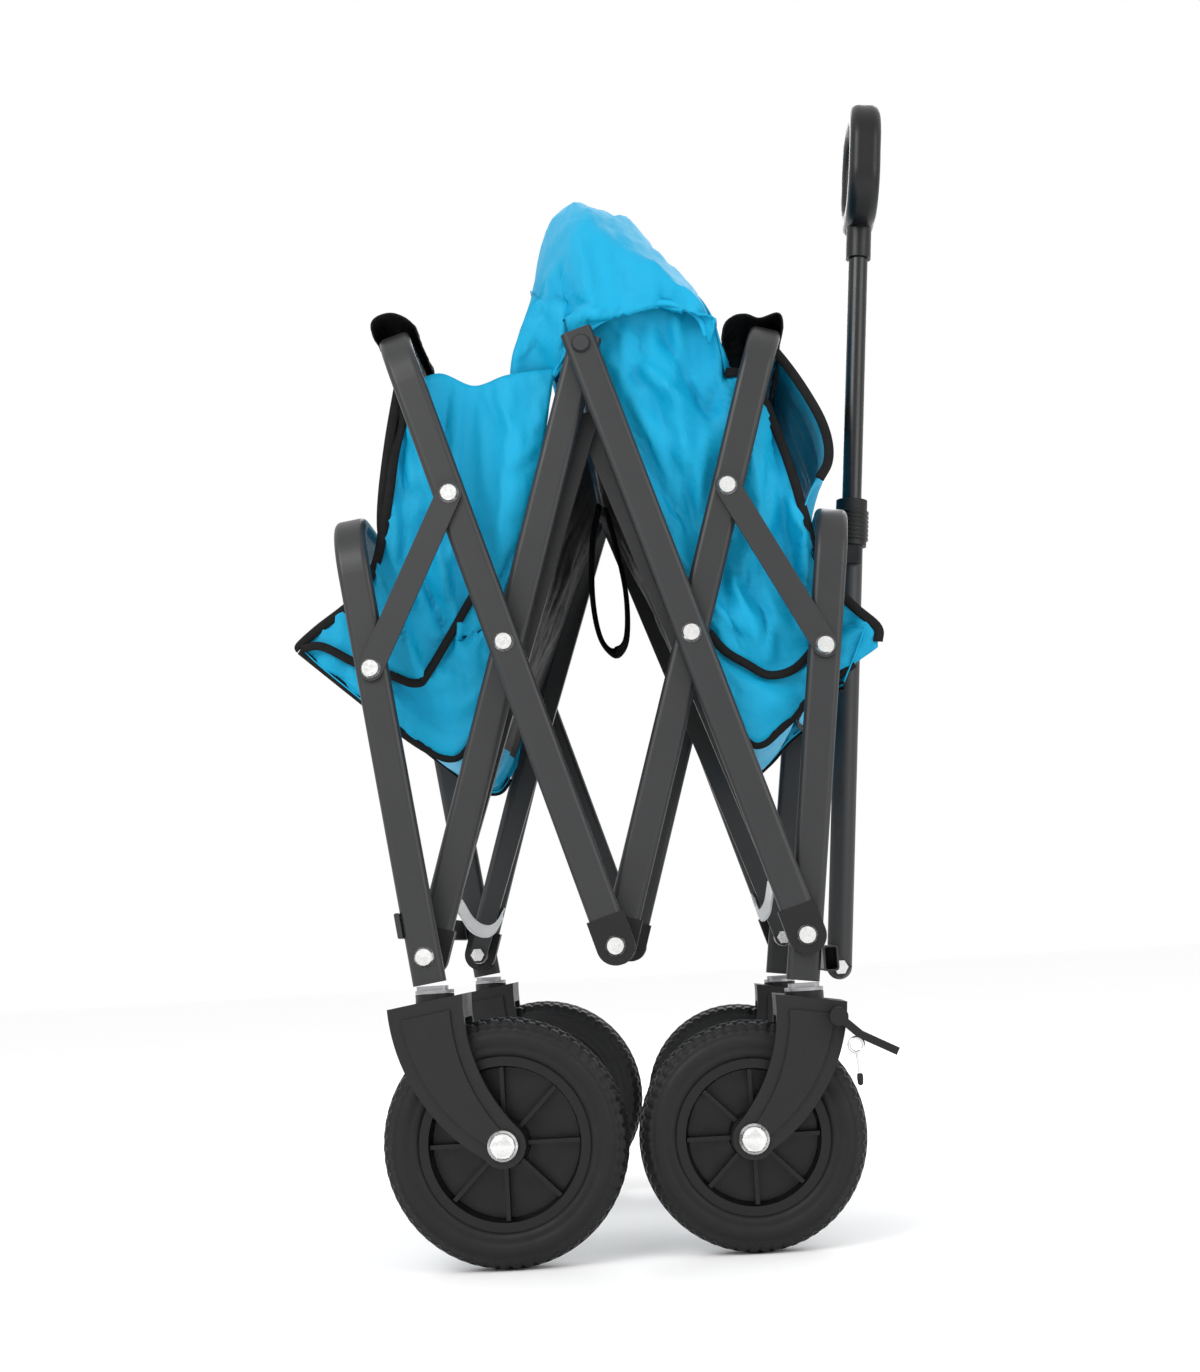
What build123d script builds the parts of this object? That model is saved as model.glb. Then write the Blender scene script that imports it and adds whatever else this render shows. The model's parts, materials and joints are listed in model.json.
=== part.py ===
"""Folding utility wagon, standing nearly folded, with its pull handle drawn out.

Frame: X runs from the rear frame to the handle, Y from the near side to the far side, Z up.
The origin lies on the floor, midway between the two frames. Lengths are in millimetres.
"""

import os
from math import cos, hypot, radians, sin, tan

from build123d import *

os.makedirs("parts", exist_ok=True)

# Scissor frame
half_bar = 253.0  # rivet to crossing rivet, the same for all four bars
fold_angle = 17.0  # bar angle from vertical as it stands
lean = 7.9  # outward lean of both end frames
pivot_height = 237.0  # lower rivets above the floor
rear_bow = 529.0  # lower rivet to top rail, rear bar frame
front_bow = 522.0
rear_post_top = 356.0  # lower rivet to top rail, end frames
front_post_top = 345.0
bow_radius = 48.0
bar_inset, bar_overhang = 2.0, 13.0  # tube ends past the lowest and the topmost rivet

# Tube and layer sizes
tube_wide, tube_thick, wall, tube_corner = 26.0, 12.0, 1.5, 5.0
outer_layer, middle_layer, inner_layer = 218.0, 204.0, 190.0
cap_wide, cap_thick, cap_reach, cap_skin = 30.0, 13.4, 24.0, 0.05
pin_radius, running_gap = 4.0, 0.05
head_radius, head_height, head_taper = 8.0, 3.0, 28.0
nut_radius, nut_height = 6.5, 4.0
spacer_radius = 8.5
washer = 1.1  # spare length of the pins that join three layers

# Short links and floor bars
link_wide, link_thick = 20.0, 3.0
link_on_post, rear_link_on_bar, front_link_on_bar = 229.0, 127.0, 125.0
floor_bar_length, floor_bar_wide, floor_bar_thick = 454.0, 16.0, 8.0
rear_floor_layer, front_floor_layer = 168.0, 159.0
floor_rod_radius = 5.0

# Wheels: radius, centre from the middle of the wagon, and track half width
rear_wheel, rear_wheel_x, rear_track = 94.0, -92.0, 215.0
front_wheel, front_wheel_x, front_track = 87.5, 96.0, 197.0
wheel_wide, tyre_depth, hub_radius, bush_radius = 42.0, 29.0, 17.0, 8.0
shoulder, tread_edge = 12.0, 14.0  # rounding of the tyre, inward and across
bead, bead_rise = 3.0, 8.0
web_half, rib_thick, rib_count, rib_drop = 3.0, 3.2, 8, 9.0
rim_lip, rim_taper, hub_proud = 9.0, 2.0, 1.0
axle_radius, axle_head, axle_head_height = 5.0, 9.5, 4.5
arm_thick, arm_gap, channel_rise, channel_margin, tyre_clearance = 7.0, 3.5, 2.5, 10.0, 5.0
boss_radius, crown_boss, crown_boss_deep = 17.0, 15.0, 10.0
stem_radius, rear_stem, front_stem, stem_depth, stem_bore = 6.0, 50.0, 47.0, 22.0, 60.0
shoe_long, shoe_wide, shoe_corner = 24.0, 15.0, 5.0
foot_gap, flange, foot_slack = 8.0, 2.5, 1.9  # stem shoe between crown and post

# Handle
hinge_x, hinge_z, handle_lean = 187.0, 208.0, 5.8
sleeve_radius, sleeve_bore, sleeve_length, sleeve_solid = 11.0, 9.2, 384.0, 12.0
rod_radius, rod_length, rod_inserted, rod_fit = 8.8, 352.0, 74.0, 0.1
collar_radius, collar_length, collar_overlap = 14.0, 42.0, 8.0
grip_wide, grip_tall, grip_thick, grip_limb = 112.0, 112.0, 28.0, 21.0
grip_corner, grip_window_corner, grip_round, grip_lift = 44.0, 25.0, 8.5, 12.0
socket_wall, socket_up, socket_down = 2.6, 14.0, 16.0
crossbar_tall, crossbar_deep, crossbar_z = 20.0, 12.0, 218.0
crossbar_corner, crossbar_gap = 3.0, 1.5
bracket_wide, bracket_thick, cheek_y, cheek_nose = 20.0, 3.0, 13.3, 10.0
hinge_bolt_half, hinge_bolt_head = 15.0, 3.5
clip_height, clip_tall = 358.0, 16.0  # along the sleeve from its hinge
clip_long, clip_wide, clip_back, clip_corner = 24.4, 31.0, 3.2, 3.0
rear_crossbar_z, rear_crossbar_tall, rear_crossbar_thick = 262.0, 20.0, 4.0
rear_crossbar_corner, rear_crossbar_gap = 1.5, 0.3

# Brake pedals
pedal_x, pedal_z, pedal_out, pedal_wide, pedal_pin = 165.0, 175.0, 42.0, 14.0, 3.0
pedal_thick, pedal_boss, pedal_reach = 6.0, 7.0, 9.0

# Soft parts
cloth, strap_thick = 3.0, 2.0
side_cloth_y, end_half, floor_half, hood_half, strap_half = 176.0, 172.0, 150.0, 203.0, 14.0

shim = 0.4  # clearance between faces that slide past each other

near_far = (("near", -1), ("far", 1))


def along(start, angle, distance):
    """Point (x, z) at a distance from start, along a line leaning by angle from vertical."""
    return (start[0] + distance * sin(radians(angle)), start[1] + distance * cos(radians(angle)))


reach = 2 * half_bar * sin(radians(fold_angle))
rear_low = (-reach, pivot_height)
front_low = (reach, pivot_height)
middle_low = (0.0, pivot_height)
rear_cross = along(middle_low, -fold_angle, half_bar)
front_cross = along(middle_low, fold_angle, half_bar)
middle_top = along(rear_low, fold_angle, 2 * half_bar)
rear_link_low = along(rear_low, -lean, link_on_post)
rear_link_high = along(rear_cross, -fold_angle, rear_link_on_bar)
front_link_low = along(front_low, lean, link_on_post)
front_link_high = along(front_cross, fold_angle, front_link_on_bar)
floor_apex = (0.0, pivot_height + (floor_bar_length**2 - reach**2) ** 0.5)


def save(builder, name):
    """Label a finished piece and write it."""
    builder.part.label = name
    export_step(builder.part, f"parts/{name}.step")


def side_plane(y):
    """Side-view plane at y: local x is X and local y is Z."""
    return Plane.XZ.offset(-y)


def tube_section(plane):
    """Hollow flat-oval tube section."""
    with BuildSketch(plane) as section:
        RectangleRounded(tube_thick, tube_wide, tube_corner)
        RectangleRounded(tube_thick - 2 * wall, tube_wide - 2 * wall, tube_corner - wall, mode=Mode.SUBTRACT)
    return section


def drill(points, y, depth, radius=pin_radius + running_gap):
    """Holes along Y through the part being built."""
    for x, z in points:
        with Locations(Location((x, y, z), (90, 0, 0))):
            Cylinder(radius, depth, mode=Mode.SUBTRACT)


def straight_bars(name, start, end, layer, holes):
    """Straight hollow bars in the two side planes, cut square at both ends."""
    length = hypot(end[0] - start[0], end[1] - start[1])
    direction = ((end[0] - start[0]) / length, 0, (end[1] - start[1]) / length)
    with BuildPart() as bars:
        for y in (-layer, layer):
            section = tube_section(Plane(origin=(start[0], y, start[1]), x_dir=(0, 1, 0), z_dir=direction))
            extrude(section.sketch, amount=length)
            drill(holes, y, tube_thick * 2)
    save(bars, name)


def bowed_frame(name, foot, top, y, holes):
    """One tube bent to a U: near leg, top rail and far leg."""
    length = hypot(top[0] - foot[0], top[1] - foot[1])
    direction = ((top[0] - foot[0]) / length, 0, (top[1] - foot[1]) / length)
    with BuildPart() as frame:
        with BuildLine() as path:
            FilletPolyline(
                (foot[0], -y, foot[1]), (top[0], -y, top[1]), (top[0], y, top[1]), (foot[0], y, foot[1]),
                radius=bow_radius,
            )
        section = tube_section(Plane(origin=(foot[0], -y, foot[1]), x_dir=(0, 1, 0), z_dir=direction))
        sweep(section.sketch, path=path.line)
        for side in (-1, 1):
            drill(holes, side * y, tube_thick * 2)
    save(frame, name)


def end_caps(name, ends):
    """Moulded caps over bar ends, with a pocket for the tube. Each end is (rivet, lean of the bar, y)."""
    pocket_low = -cap_wide / 3 + 1
    pocket_tall = cap_reach + cap_wide / 3
    with BuildPart() as caps:
        for rivet, angle, y in ends:
            across = (cos(radians(angle)), 0, -sin(radians(angle)))
            plane = Plane(origin=(rivet[0], y, rivet[1]), x_dir=across, z_dir=(0, -1, 0))
            with BuildSketch(plane):
                Circle(cap_wide / 2)
                with Locations((0, cap_reach / 2)):
                    Rectangle(cap_wide, cap_reach)
            extrude(amount=cap_thick / 2, both=True)
            with BuildSketch(plane):
                with Locations((0, pocket_low + pocket_tall / 2)):
                    Rectangle(tube_wide + 2 * cap_skin, pocket_tall)
            extrude(amount=tube_thick / 2 + cap_skin, both=True, mode=Mode.SUBTRACT)
            drill([rivet], y, tube_thick * 2)
    save(caps, name)


def pivot_pins(name, pins):
    """Headed pins along Y. Each pin is (point, outer face, inner face, spacers), near and far."""
    with BuildPart() as group:
        for side in (-1, 1):
            for (x, z), outer, inner, spacers in pins:
                with BuildSketch(Plane.XZ.offset(-side * inner)):
                    with Locations((x, z)):
                        Circle(pin_radius)
                extrude(amount=-side * (outer - inner))
                with BuildSketch(Plane.XZ.offset(-side * outer)):
                    with Locations((x, z)):
                        Circle(head_radius)
                extrude(amount=-side * head_height, taper=head_taper)
                with BuildSketch(Plane.XZ.offset(-side * inner)):
                    with Locations((x, z)):
                        RegularPolygon(nut_radius, 6)
                extrude(amount=side * nut_height)
                for high, low in spacers:
                    with BuildSketch(Plane.XZ.offset(-side * low)):
                        with Locations((x, z)):
                            Circle(spacer_radius)
                    extrude(amount=-side * (high - low))
    save(group, name)


def flat_links(name, start, end, centre, wide, thick, pin_hole_at):
    """Flat round-ended links, near and far."""
    middle = ((start[0] + end[0]) / 2, (start[1] + end[1]) / 2)
    length = hypot(end[0] - start[0], end[1] - start[1])
    direction = ((end[0] - start[0]) / length, 0, (end[1] - start[1]) / length)
    with BuildPart() as links:
        for y in (-centre, centre):
            with BuildSketch(Plane(origin=(middle[0], y, middle[1]), x_dir=direction, z_dir=(0, -1, 0))):
                SlotCenterToCenter(length, wide)
            extrude(amount=thick / 2, both=True)
            drill(pin_hole_at, y, thick * 2)
    save(links, name)


half_tube = tube_thick / 2
outer_face, outer_back = outer_layer + half_tube, outer_layer - half_tube
middle_face = middle_layer + half_tube
inner_face, inner_back = inner_layer + half_tube, inner_layer - half_tube

# Wheels and forks ------------------------------------------------------------------------


def wheel(name, radius, x, y):
    """Tyre and ribbed rim, turning about one axle."""
    half = wheel_wide / 2
    seat = radius - tyre_depth
    bore = bush_radius + running_gap
    wall_top, tread_half = radius - shoulder, half - tread_edge
    hub_foot, lip_foot, lip_top = hub_radius + rim_taper, seat - rim_lip, seat - rim_lip + rim_taper
    axis = Axis((x, y, radius), (0, 1, 0))
    with BuildPart() as tyre:
        with BuildSketch(Plane(origin=(x, y, radius), x_dir=(1, 0, 0), z_dir=(0, 0, 1))):
            with BuildLine():
                Polyline((seat, -half + bead), (seat + bead_rise, -half), (wall_top, -half))
                ThreePointArc((wall_top, -half), (radius - 2.5, -half + 5), (radius, -tread_half))
                Line((radius, -tread_half), (radius, tread_half))
                ThreePointArc((radius, tread_half), (radius - 2.5, half - 5), (wall_top, half))
                Polyline((wall_top, half), (seat + bead_rise, half), (seat, half - bead),
                         (seat, -half + bead))
            make_face()
        revolve(axis=axis)
    save(tyre, f"{name}_tyre")
    with BuildPart() as rim:
        with BuildSketch(Plane(origin=(x, y, radius), x_dir=(1, 0, 0), z_dir=(0, 0, 1))):
            with BuildLine():
                Polyline(
                    (bore, -half - hub_proud), (hub_radius, -half - hub_proud), (hub_foot, -web_half),
                    (lip_foot, -web_half), (lip_top, -half + bead), (seat, -half + bead), (seat, half - bead),
                    (lip_top, half - bead), (lip_foot, web_half), (hub_foot, web_half),
                    (hub_radius, half + hub_proud), (bore, half + hub_proud),
                    close=True,
                )
            make_face()
        revolve(axis=axis)
        for side in (-1, 1):
            with BuildSketch(side_plane(y + side * web_half)):
                with Locations((x, radius)):
                    with PolarLocations((hub_radius + lip_foot) / 2, rib_count):
                        Rectangle(lip_top - hub_radius, rib_thick)
            extrude(amount=-side * (half - rib_drop))
    save(rim, f"{name}_rim")


def crown_height(radius):
    """Top of the fork crown above the floor."""
    return radius * (1 + 114 / rear_wheel) + 0.5


def fork_side(plane, radius, trail, margin=0):
    """Side view of a fork arm about the axle. trail is +1 where the wheel lies towards +X of the stem."""
    place = lambda x, z: (trail * radius / rear_wheel * x, radius / rear_wheel * z)
    with BuildSketch(plane) as side:
        with BuildLine():
            ThreePointArc(place(-83, 105), place(-64, 42), place(-10, -12))
            Line(place(-10, -12), place(12, 12))
            ThreePointArc(place(12, 12), place(-15, 54), place(-25, 114))
            Line(place(-25, 114), place(-83, 105))
        make_face()
        Circle(boss_radius * radius / rear_wheel)
        if margin:
            offset(amount=-margin, kind=Kind.ARC, mode=Mode.REPLACE)
    return side


def fork(name, radius, x, y, trail, stem_x):
    """Two-armed moulded fork with a crown over the tyre."""
    half_inside = wheel_wide / 2 + arm_gap
    half_outside = half_inside + arm_thick
    plane = Plane(origin=(x, y, radius), x_dir=(1, 0, 0), z_dir=(0, -1, 0))
    with BuildPart() as body:
        extrude(fork_side(plane, radius, trail).sketch, amount=half_outside, both=True)
        with BuildSketch(plane):
            Circle(radius + tyre_clearance)
        extrude(amount=half_inside, both=True, mode=Mode.SUBTRACT)
        for side in (-1, 1):
            channel = fork_side(plane.offset(-side * half_outside), radius, trail, channel_margin)
            extrude(channel.sketch, amount=-side * channel_rise)
        drill([(x, radius)], y, half_outside * 3, axle_radius + running_gap)
        if trail < 0:
            drill([(pedal_x, pedal_z)], y, half_outside * 3, pedal_pin + running_gap)
        with BuildSketch(Plane.XY.offset(crown_height(radius))):
            with Locations((stem_x, y)):
                Circle(crown_boss)
        extrude(amount=-crown_boss_deep)
        with Locations((stem_x, y, crown_height(radius))):
            Cylinder(stem_radius + running_gap, stem_bore, mode=Mode.SUBTRACT)
    save(body, name)


def axles(name, ends):
    """Axle bolts with hexagon heads and nuts. Each end is (radius, x, y)."""
    half = wheel_wide / 2 + arm_gap + arm_thick + channel_rise
    with BuildPart() as group:
        for radius, x, y in ends:
            with BuildSketch(side_plane(y)):
                with Locations((x, radius)):
                    Circle(axle_radius)
            extrude(amount=half, both=True)
            for side in (-1, 1):
                with BuildSketch(side_plane(y + side * half)):
                    with Locations((x, radius)):
                        RegularPolygon(axle_head, 6)
                extrude(amount=-side * axle_head_height)
    save(group, name)


def sleeves(name, ends):
    """Bearing sleeves clamped on the axles, on which the rims turn."""
    with BuildPart() as group:
        for radius, x, y in ends:
            with BuildSketch(side_plane(y)):
                with Locations((x, radius)):
                    Circle(bush_radius)
                    Circle(axle_radius + running_gap, mode=Mode.SUBTRACT)
            extrude(amount=wheel_wide / 2 + arm_gap, both=True)
    save(group, name)


def stems(name, x, track, top, foot_x):
    """Upright stems: a flange on the crown, a shoe under the post and a pin down into the crown."""
    with BuildPart() as group:
        for side in (-1, 1):
            y = side * track
            with BuildSketch(Plane.XY.offset(top + shim)):
                with Locations((x, y)):
                    Circle(crown_boss)
            extrude(amount=flange)
            with BuildSketch(Plane.XY.offset(top + shim + flange)):
                with Locations(((x + foot_x) / 2, y)):
                    RectangleRounded(shoe_long, shoe_wide, shoe_corner)
            extrude(amount=foot_gap - shim - flange - foot_slack)
            with BuildSketch(Plane.XY.offset(top + shim)):
                with Locations((x, y)):
                    Circle(stem_radius)
            extrude(amount=-stem_depth)
    save(group, name)


post_foot_rear = (rear_low[1] - crown_height(rear_wheel) - foot_gap) / cos(radians(lean))
post_foot_front = (front_low[1] - crown_height(front_wheel) - foot_gap) / cos(radians(lean))
rear_foot = along(rear_low, -lean, -post_foot_rear)
front_foot = along(front_low, lean, -post_foot_front)
rear_stem_x, front_stem_x = rear_wheel_x - rear_stem, front_wheel_x + front_stem
for word, side in near_far:
    wheel(f"rear_{word}_wheel", rear_wheel, rear_wheel_x, side * rear_track)
    wheel(f"front_{word}_wheel", front_wheel, front_wheel_x, side * front_track)
    fork(f"rear_{word}_fork", rear_wheel, rear_wheel_x, side * rear_track, 1, rear_stem_x)
    fork(f"front_{word}_fork", front_wheel, front_wheel_x, side * front_track, -1, front_stem_x)
    axles(f"front_{word}_axle", [(front_wheel, front_wheel_x, side * front_track)])
    sleeves(f"front_{word}_sleeve", [(front_wheel, front_wheel_x, side * front_track)])
rear_ends = [(rear_wheel, rear_wheel_x, side * rear_track) for side in (-1, 1)]
axles("rear_axles", rear_ends)
sleeves("rear_sleeves", rear_ends)
stems("rear_stems", rear_stem_x, rear_track, crown_height(rear_wheel), rear_foot[0])
stems("front_stems", front_stem_x, front_track, crown_height(front_wheel), front_foot[0])

# Frame tubes -----------------------------------------------------------------------------

bar_reach = 2 * half_bar + bar_overhang
bowed_frame("rear_post_frame", rear_foot, along(rear_low, -lean, rear_post_top), outer_layer,
            [rear_low, rear_link_low])
bowed_frame("front_post_frame", front_foot, along(front_low, lean, front_post_top), inner_layer,
            [front_low, front_link_low])
bowed_frame("rear_bow_frame", along(middle_low, -fold_angle, -bar_inset),
            along(middle_low, -fold_angle, rear_bow), outer_layer, [middle_low, rear_cross, rear_link_high])
bowed_frame("front_bow_frame", along(middle_low, fold_angle, -bar_inset),
            along(middle_low, fold_angle, front_bow), inner_layer, [middle_low, front_cross, front_link_high])
straight_bars("rear_scissor_bars", along(rear_low, fold_angle, -bar_inset),
              along(rear_low, fold_angle, bar_reach), inner_layer, [rear_low, rear_cross, middle_top])
straight_bars("front_scissor_bars", along(front_low, -fold_angle, -bar_inset),
              along(front_low, -fold_angle, bar_reach), middle_layer, [front_low, front_cross, middle_top])

both = (-1, 1)
end_caps("rear_bow_caps", [(middle_low, -fold_angle, side * outer_layer) for side in both])
end_caps("front_bow_caps", [(middle_low, fold_angle, side * inner_layer) for side in both])
end_caps("rear_bar_caps", [(rear_low, fold_angle, side * inner_layer) for side in both])
end_caps("front_bar_caps", [(front_low, -fold_angle, side * middle_layer) for side in both])

link_outer = outer_face + shim + link_thick
front_link_back = inner_face + shim
front_link_outer = front_link_back + link_thick
rear_floor_face = rear_floor_layer + floor_bar_thick / 2
rear_floor_back = rear_floor_layer - floor_bar_thick / 2
front_floor_face = front_floor_layer + floor_bar_thick / 2
front_floor_back = front_floor_layer - floor_bar_thick / 2
pivot_pins("rear_post_pins", [
    (rear_low, outer_face, rear_floor_back - shim,
     [(outer_back - shim, inner_face + washer), (inner_back - washer, rear_floor_face + shim)]),
    (rear_link_low, link_outer, outer_back - shim, []),
])
pivot_pins("front_bar_pins", [
    (front_low, middle_face + washer, front_floor_back - shim,
     [(inner_back - shim, front_floor_face + shim)]),
    (front_cross, middle_face, inner_back - shim, []),
])
pivot_pins("rear_bow_pins", [
    (rear_cross, outer_face, inner_back - shim, [(outer_back, inner_face + shim)]),
    (middle_low, outer_face + washer, inner_back - washer, [(outer_back - washer, inner_face + washer)]),
])
pivot_pins("front_link_pins", [(front_link_low, front_link_outer, inner_back - shim, [])])

flat_links("rear_links", rear_link_low, rear_link_high, outer_face + shim + link_thick / 2, link_wide,
           link_thick, [rear_link_low])
flat_links("front_links", front_link_low, front_link_high, front_link_back + link_thick / 2, link_wide,
           link_thick, [front_link_low])
flat_links("rear_floor_bars", rear_low, floor_apex, rear_floor_layer, floor_bar_wide, floor_bar_thick,
           [rear_low])
flat_links("front_floor_bars", front_low, floor_apex, front_floor_layer, floor_bar_wide, floor_bar_thick,
           [front_low])


def link_end_studs(name, point, outer):
    """Rivet heads on the free ends of the links, stopping at the face of the tube behind."""
    with BuildPart() as studs:
        for side in both:
            with BuildSketch(Plane.XZ.offset(-side * outer)):
                with Locations(point):
                    Circle(head_radius)
            extrude(amount=-side * head_height, taper=head_taper)
    save(studs, name)


link_end_studs("rear_link_studs", rear_link_high, link_outer)
link_end_studs("front_link_studs", front_link_high, front_link_outer)

with BuildPart() as top_rod:
    with BuildSketch(Plane.XZ.offset(-middle_face)):
        with Locations(middle_top):
            Circle(pin_radius)
    extrude(amount=2 * middle_face)
    for side in both:
        with BuildSketch(Plane.XZ.offset(-side * middle_face)):
            with Locations(middle_top):
                Circle(head_radius)
        extrude(amount=-side * head_height, taper=head_taper)
    with BuildSketch(Plane.XZ):
        with Locations(middle_top):
            Circle(head_radius)
    extrude(amount=inner_back - shim, both=True)
save(top_rod, "top_rod")

with BuildPart() as floor_rod:
    with BuildSketch(Plane.XZ):
        with Locations(floor_apex):
            Circle(floor_rod_radius)
    extrude(amount=front_floor_back - 1, both=True)
save(floor_rod, "floor_rod")

half_post = tube_wide / 2 / cos(radians(lean))
front_bar_x = front_low[0] - (pivot_height - crossbar_z) * tan(radians(lean)) + half_post
with BuildPart() as front_crossbar:
    with BuildSketch(Plane.XZ):
        with Locations((front_bar_x + crossbar_gap + crossbar_deep / 2, crossbar_z)):
            RectangleRounded(crossbar_deep, crossbar_tall, crossbar_corner)
            RectangleRounded(crossbar_deep - 2 * wall, crossbar_tall - 2 * wall, crossbar_corner - wall,
                             mode=Mode.SUBTRACT)
    extrude(amount=inner_face, both=True)
save(front_crossbar, "front_crossbar")

rear_bar_x = rear_low[0] - (rear_crossbar_z - pivot_height) * tan(radians(lean)) - half_post
with BuildPart() as rear_crossbar:
    with BuildSketch(Plane.XZ):
        with Locations((rear_bar_x - rear_crossbar_gap - rear_crossbar_thick / 2, rear_crossbar_z)):
            RectangleRounded(rear_crossbar_thick, rear_crossbar_tall, rear_crossbar_corner, rotation=lean)
    extrude(amount=outer_face, both=True)
save(rear_crossbar, "rear_crossbar")

# Handle ----------------------------------------------------------------------------------

handle_low = (hinge_x, hinge_z)
lean_sin, lean_cos = sin(radians(handle_lean)), cos(radians(handle_lean))
handle_plane = Plane(origin=(hinge_x, 0, hinge_z), x_dir=(lean_cos, 0, -lean_sin),
                     z_dir=(lean_sin, 0, lean_cos))

with BuildPart() as bracket:
    base_x = front_bar_x + crossbar_gap + crossbar_deep
    with BuildSketch(side_plane(0)):
        with Locations((base_x + bracket_thick / 2, crossbar_z)):
            Rectangle(bracket_thick, crossbar_tall)
    extrude(amount=bracket_wide, both=True)
    for side in both:
        with BuildSketch(side_plane(side * cheek_y)):
            with BuildLine():
                Polyline((base_x, crossbar_z + crossbar_tall / 2), (hinge_x, hinge_z + cheek_nose),
                         (hinge_x + cheek_nose, hinge_z), (hinge_x, hinge_z - cheek_nose),
                         (base_x, crossbar_z - crossbar_tall / 2), close=True)
            make_face()
            with Locations((hinge_x, hinge_z)):
                Circle(pin_radius + running_gap, mode=Mode.SUBTRACT)
        extrude(amount=bracket_thick / 2, both=True)
save(bracket, "handle_bracket")

with BuildPart() as hinge_bolt:
    with BuildSketch(side_plane(0)):
        with Locations((hinge_x, hinge_z)):
            Circle(pin_radius)
    extrude(amount=hinge_bolt_half, both=True)
    for side in both:
        with BuildSketch(side_plane(side * hinge_bolt_half)):
            with Locations((hinge_x, hinge_z)):
                RegularPolygon(nut_radius, 6)
        extrude(amount=-side * hinge_bolt_head)
save(hinge_bolt, "handle_hinge_bolt")

# Its round foot turns inside the bracket
with BuildPart() as sleeve:
    with BuildSketch(handle_plane):
        Circle(sleeve_radius)
    extrude(amount=sleeve_length)
    with Locations(handle_plane.location):
        Sphere(sleeve_radius)
    with BuildSketch(handle_plane.offset(sleeve_solid)):
        Circle(sleeve_bore)
    extrude(amount=sleeve_length, mode=Mode.SUBTRACT)
    drill([handle_low], 0, 40)
save(sleeve, "handle_sleeve")

with BuildPart() as collar:
    with BuildSketch(handle_plane.offset(sleeve_length - collar_overlap)):
        Circle(collar_radius)
        Circle(sleeve_radius + cap_skin, mode=Mode.SUBTRACT)
    extrude(amount=collar_overlap)
    with BuildSketch(handle_plane.offset(sleeve_length)):
        Circle(collar_radius)
        Circle(rod_radius + rod_fit, mode=Mode.SUBTRACT)
    extrude(amount=collar_length - collar_overlap)
save(collar, "handle_collar")

with BuildPart() as rod:
    with BuildSketch(handle_plane.offset(sleeve_length - rod_inserted)):
        Circle(rod_radius)
        Circle(rod_radius - wall, mode=Mode.SUBTRACT)
    extrude(amount=rod_length)
save(rod, "handle_rod")

grip_start = sleeve_length - rod_inserted + rod_length
with BuildPart() as grip:
    with BuildSketch(Plane(origin=handle_plane.origin, x_dir=(0, 1, 0), z_dir=handle_plane.x_dir)):
        with Locations((0, grip_start + grip_lift + grip_tall / 2)):
            RectangleRounded(grip_wide, grip_tall, grip_corner)
            RectangleRounded(grip_wide - 2 * grip_limb, grip_tall - 2 * grip_limb, grip_window_corner,
                             mode=Mode.SUBTRACT)
    extrude(amount=grip_thick / 2, both=True)
    fillet(grip.edges(), grip_round)
    with BuildSketch(handle_plane.offset(grip_start + cap_skin)):
        Circle(rod_radius + socket_wall)
    extrude(amount=socket_up)
    with BuildSketch(handle_plane.offset(grip_start - socket_down)):
        Circle(rod_radius + socket_wall)
        Circle(rod_radius + cap_skin, mode=Mode.SUBTRACT)
    extrude(amount=socket_down + cap_skin)
save(grip, "handle_grip")

# Saddle on the front top rail that the folded handle rests in
with BuildPart() as clip:
    with BuildSketch(handle_plane.offset(clip_height)):
        with Locations((-clip_back, 0)):
            RectangleRounded(clip_long, clip_wide, clip_corner)
        with Locations((sleeve_radius, 0)):
            Rectangle(2 * sleeve_radius, 2 * (sleeve_radius + shim), mode=Mode.SUBTRACT)
        Circle(sleeve_radius + shim, mode=Mode.SUBTRACT)
    extrude(amount=clip_tall)
save(clip, "handle_clip")

# Brake pedals on the front forks ----------------------------------------------------------

for word, side in near_far:
    pedal_y = side * (front_track + pedal_out)
    with BuildPart() as pedal:
        with BuildSketch(Plane(origin=(pedal_x, pedal_y, pedal_z), x_dir=(1, 0, 0), z_dir=(0, -1, 0))):
            with BuildLine():
                Polyline((0, 0), (15, -14), (42, -28))
            trace(line_width=pedal_thick)
            Circle(pedal_boss)
        extrude(amount=pedal_wide / 2, both=True)
        with BuildSketch(side_plane(pedal_y)):
            with Locations((pedal_x, pedal_z)):
                Circle(pedal_pin)
        extrude(amount=side * (pedal_wide / 2 + pedal_reach))
    save(pedal, f"{word}_brake_pedal")

# Soft parts -------------------------------------------------------------------------------


def side_cloths(name, outline):
    """Flat side panels hanging just inside the bars."""
    with BuildPart() as panels:
        for y in (-side_cloth_y, side_cloth_y):
            with BuildSketch(side_plane(y)):
                with BuildLine():
                    Polyline(*outline, close=True)
                make_face()
            extrude(amount=cloth / 2, both=True)
    save(panels, name)


def cloth_run(name, points, half_wide, thick=cloth):
    """Sheet running across the wagon, with its line seen from the side."""
    with BuildPart() as sheet:
        with BuildSketch(side_plane(0)):
            with BuildLine():
                Polyline(*points)
            trace(line_width=thick)
        extrude(amount=half_wide, both=True)
    save(sheet, name)


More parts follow.
